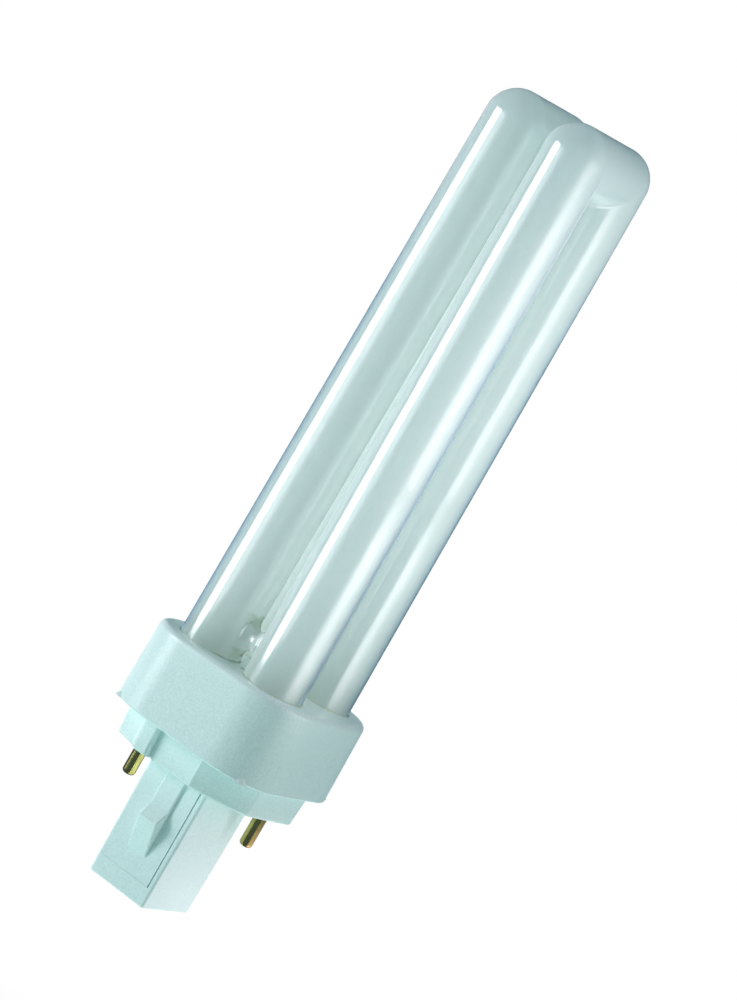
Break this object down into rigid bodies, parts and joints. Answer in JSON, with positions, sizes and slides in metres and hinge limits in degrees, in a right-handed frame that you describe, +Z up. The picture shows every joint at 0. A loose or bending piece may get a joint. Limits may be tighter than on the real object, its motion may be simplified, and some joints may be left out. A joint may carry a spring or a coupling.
{
  "type": "compact fluorescent lamp",
  "caption": "Compact fluorescent lamp: square-bent glass tubes joined by a small bridge, in a moulded collar on a latching plug with brass contact pins.",
  "frame": {"origin": "centre of the plug's end face", "axes": "+Z up the lamp's axis from the plug to the tube tops; +X from one U to the other; +Y along each U"},
  "size_m": [0.0348, 0.0348, 0.153],
  "materials": {
    "phosphor_glass": "clear gloss over a milky phosphor coat",
    "cap_plastic": "satin moulded",
    "pin_brass": "polished",
    "cement": "matt cast",
    "starter_glass": "clear gloss",
    "capacitor_resin": "dipped resin",
    "lead_wire": "drawn wire"
  },
  "bodies": {
    "root": {"discharge_tube": "phosphor_glass", "collar": "cap_plastic", "tube_cement": "cement", "plug_base": "cap_plastic", "contact_pin_left": "pin_brass", "contact_pin_right": "pin_brass", "glow_starter": "starter_glass", "suppression_capacitor": "capacitor_resin", "pin_lead_left": "lead_wire", "pin_lead_right": "lead_wire", "starter_lead_left": "lead_wire", "starter_lead_right": "lead_wire"}
  },
  "joints": []
}
